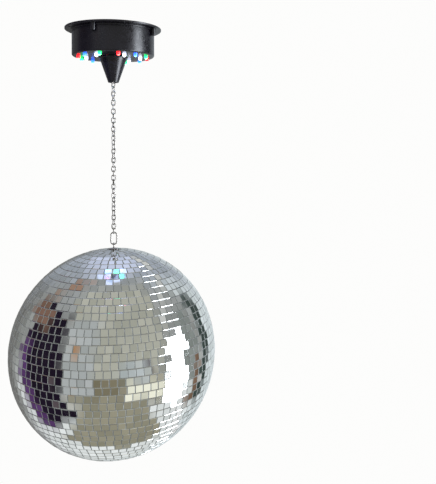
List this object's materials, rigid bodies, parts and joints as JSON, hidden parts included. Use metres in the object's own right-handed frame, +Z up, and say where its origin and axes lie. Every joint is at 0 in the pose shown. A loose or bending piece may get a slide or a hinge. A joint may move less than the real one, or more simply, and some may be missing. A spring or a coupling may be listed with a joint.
{
  "type": "mirror ball",
  "caption": "Tiled mirror ball on a fine steel chain under a round black battery motor with a turning cone and a ring of coloured LEDs.",
  "frame": {"origin": "centre of the ceiling plate's top face, on the axis that the ball turns about", "axes": "+Z up towards the ceiling along the shaft, chain and ball; -Y is the front, with the rocker switch at the back on +Y"},
  "size_m": [0.3, 0.3, 0.625],
  "materials": {
    "black_plastic": "semi-gloss moulded plastic",
    "gloss_black": "polished moulded plastic",
    "grey_plastic": "plain moulded plastic",
    "gear_plastic": "natural acetal",
    "circuit_board": "green solder mask",
    "cell_skin": "printed film, plain",
    "steel": "plain bright steel",
    "nickel": "nickel plated, slightly dull",
    "brass": "machined",
    "mirror_tile": "silvered glass tiles with grey seams",
    "core_plastic": "grey blow-moulded shell",
    "led_red": "clear epoxy, lit red",
    "led_blue": "clear epoxy, lit blue",
    "led_green": "clear epoxy, lit green",
    "led_white": "clear epoxy, lit white"
  },
  "bodies": {
    "ceiling_unit": {"ceiling_plate": "black_plastic", "case_screw_1": "steel", "case_screw_2": "steel", "case_screw_3": "steel", "case_screw_4": "steel", "motor_housing": "black_plastic", "switch_frame": "gloss_black", "battery_tray": "black_plastic", "battery_1": "cell_skin", "battery_2": "cell_skin", "battery_3": "cell_skin", "contact_left": "steel", "contact_right": "steel", "led_board": "circuit_board", "led_red_1": "led_red", "led_red_2": "led_red", "led_red_3": "led_red", "led_red_4": "led_red", "led_blue_1": "led_blue", "led_blue_2": "led_blue", "led_blue_3": "led_blue", "led_blue_4": "led_blue", "led_green_1": "led_green", "led_green_2": "led_green", "led_green_3": "led_green", "led_green_4": "led_green", "led_white_1": "led_white", "led_white_2": "led_white", "led_white_3": "led_white", "led_white_4": "led_white", "led_white_5": "led_white", "led_white_6": "led_white", "gearbox_frame": "grey_plastic", "drive_motor": "steel", "gear_pin_1": "steel", "gear_pin_2": "steel", "output_bushing": "brass"},
    "battery_door": {"battery_door": "black_plastic"},
    "switch_rocker": {"switch_rocker": "gloss_black"},
    "motor_rotor": {"motor_pinion": "brass"},
    "gear_1": {"gear_1": "gear_plastic"},
    "gear_2": {"gear_2": "gear_plastic"},
    "output_drive": {"output_gear": "gear_plastic", "output_shaft": "steel", "shaft_collar": "steel", "nose_cone": "black_plastic"},
    "chain_1": {"chain_1": "nickel"},
    "chain_2": {"chain_2": "nickel"},
    "chain_3": {"chain_3": "nickel"},
    "chain_4": {"chain_4": "nickel"},
    "chain_5": {"chain_5": "nickel"},
    "chain_6": {"chain_6": "nickel"},
    "chain_7": {"chain_7": "nickel"},
    "hanger_ring": {"hanger_ring": "nickel"},
    "ball": {"ball_eye": "nickel", "eye_nut": "steel", "ball_core_upper": "core_plastic", "ball_core_lower": "core_plastic", "mirror_skin_upper": "mirror_tile", "mirror_skin_lower": "mirror_tile"}
  },
  "joints": [
    {"name": "drive_spin", "type": "hinge", "parent": "ceiling_unit", "child": "output_drive", "pos_m": [0, 0, -0.05], "axis": [0, 0, 1], "continuous": true},
    {"name": "gear_2_spin", "type": "hinge", "parent": "ceiling_unit", "child": "gear_2", "pos_m": [0.01247, 0.0072, -0.033], "axis": [0, 0, 1], "continuous": true},
    {"name": "gear_1_spin", "type": "hinge", "parent": "ceiling_unit", "child": "gear_1", "pos_m": [0.00229, 0.01738, -0.03], "axis": [0, 0, 1], "continuous": true},
    {"name": "motor_spin", "type": "hinge", "parent": "ceiling_unit", "child": "motor_rotor", "pos_m": [-0.01018, 0.02458, -0.029], "axis": [0, 0, 1], "continuous": true},
    {"name": "rocker_tilt", "type": "hinge", "parent": "ceiling_unit", "child": "switch_rocker", "pos_m": [0, 0.057, -0.0208], "axis": [1, 0, 0], "range_deg": [-10, 10]},
    {"name": "battery_door_hinge", "type": "hinge", "parent": "ceiling_unit", "child": "battery_door", "pos_m": [0, -0.006, -0.0012], "axis": [-1, 0, 0], "range_deg": [0, 85]},
    {"name": "chain_1_swing", "type": "hinge", "parent": "output_drive", "child": "chain_1", "pos_m": [0, 0, -0.0734], "axis": [-0.7071, 0.7071, 0], "range_deg": [-15, 15]},
    {"name": "chain_2_swing", "type": "hinge", "parent": "chain_1", "child": "chain_2", "pos_m": [0, 0, -0.10606], "axis": [-0.2225, -0.9749, 0], "range_deg": [-45, 45]},
    {"name": "chain_3_swing", "type": "hinge", "parent": "chain_2", "child": "chain_3", "pos_m": [0, 0, -0.13878], "axis": [0.9439, 0.3303, 0], "range_deg": [-45, 45]},
    {"name": "chain_4_swing", "type": "hinge", "parent": "chain_3", "child": "chain_4", "pos_m": [0, 0, -0.17149], "axis": [-0.7818, 0.6235, 0], "range_deg": [-45, 45]},
    {"name": "chain_5_swing", "type": "hinge", "parent": "chain_4", "child": "chain_5", "pos_m": [0, 0, -0.20421], "axis": [-0.112, -0.9937, 0], "range_deg": [-45, 45]},
    {"name": "chain_6_swing", "type": "hinge", "parent": "chain_5", "child": "chain_6", "pos_m": [0, 0, -0.23692], "axis": [0.901, 0.4339, 0], "range_deg": [-45, 45]},
    {"name": "chain_7_swing", "type": "hinge", "parent": "chain_6", "child": "chain_7", "pos_m": [0, 0, -0.26964], "axis": [-0.8467, 0.532, 0], "range_deg": [-45, 45]},
    {"name": "ring_swing", "type": "hinge", "parent": "chain_7", "child": "hanger_ring", "pos_m": [0, 0, -0.30235], "axis": [0, -1, 0], "range_deg": [-40, 40]},
    {"name": "ball_swing", "type": "hinge", "parent": "hanger_ring", "child": "ball", "pos_m": [0, 0, -0.31835], "axis": [1, 0, 0], "range_deg": [-40, 40]}
  ],
  "couplings": [
    {"joint": "gear_2_spin", "follows": "drive_spin", "ratio": -5},
    {"joint": "gear_1_spin", "follows": "drive_spin", "ratio": 25},
    {"joint": "motor_spin", "follows": "drive_spin", "ratio": -125}
  ]
}
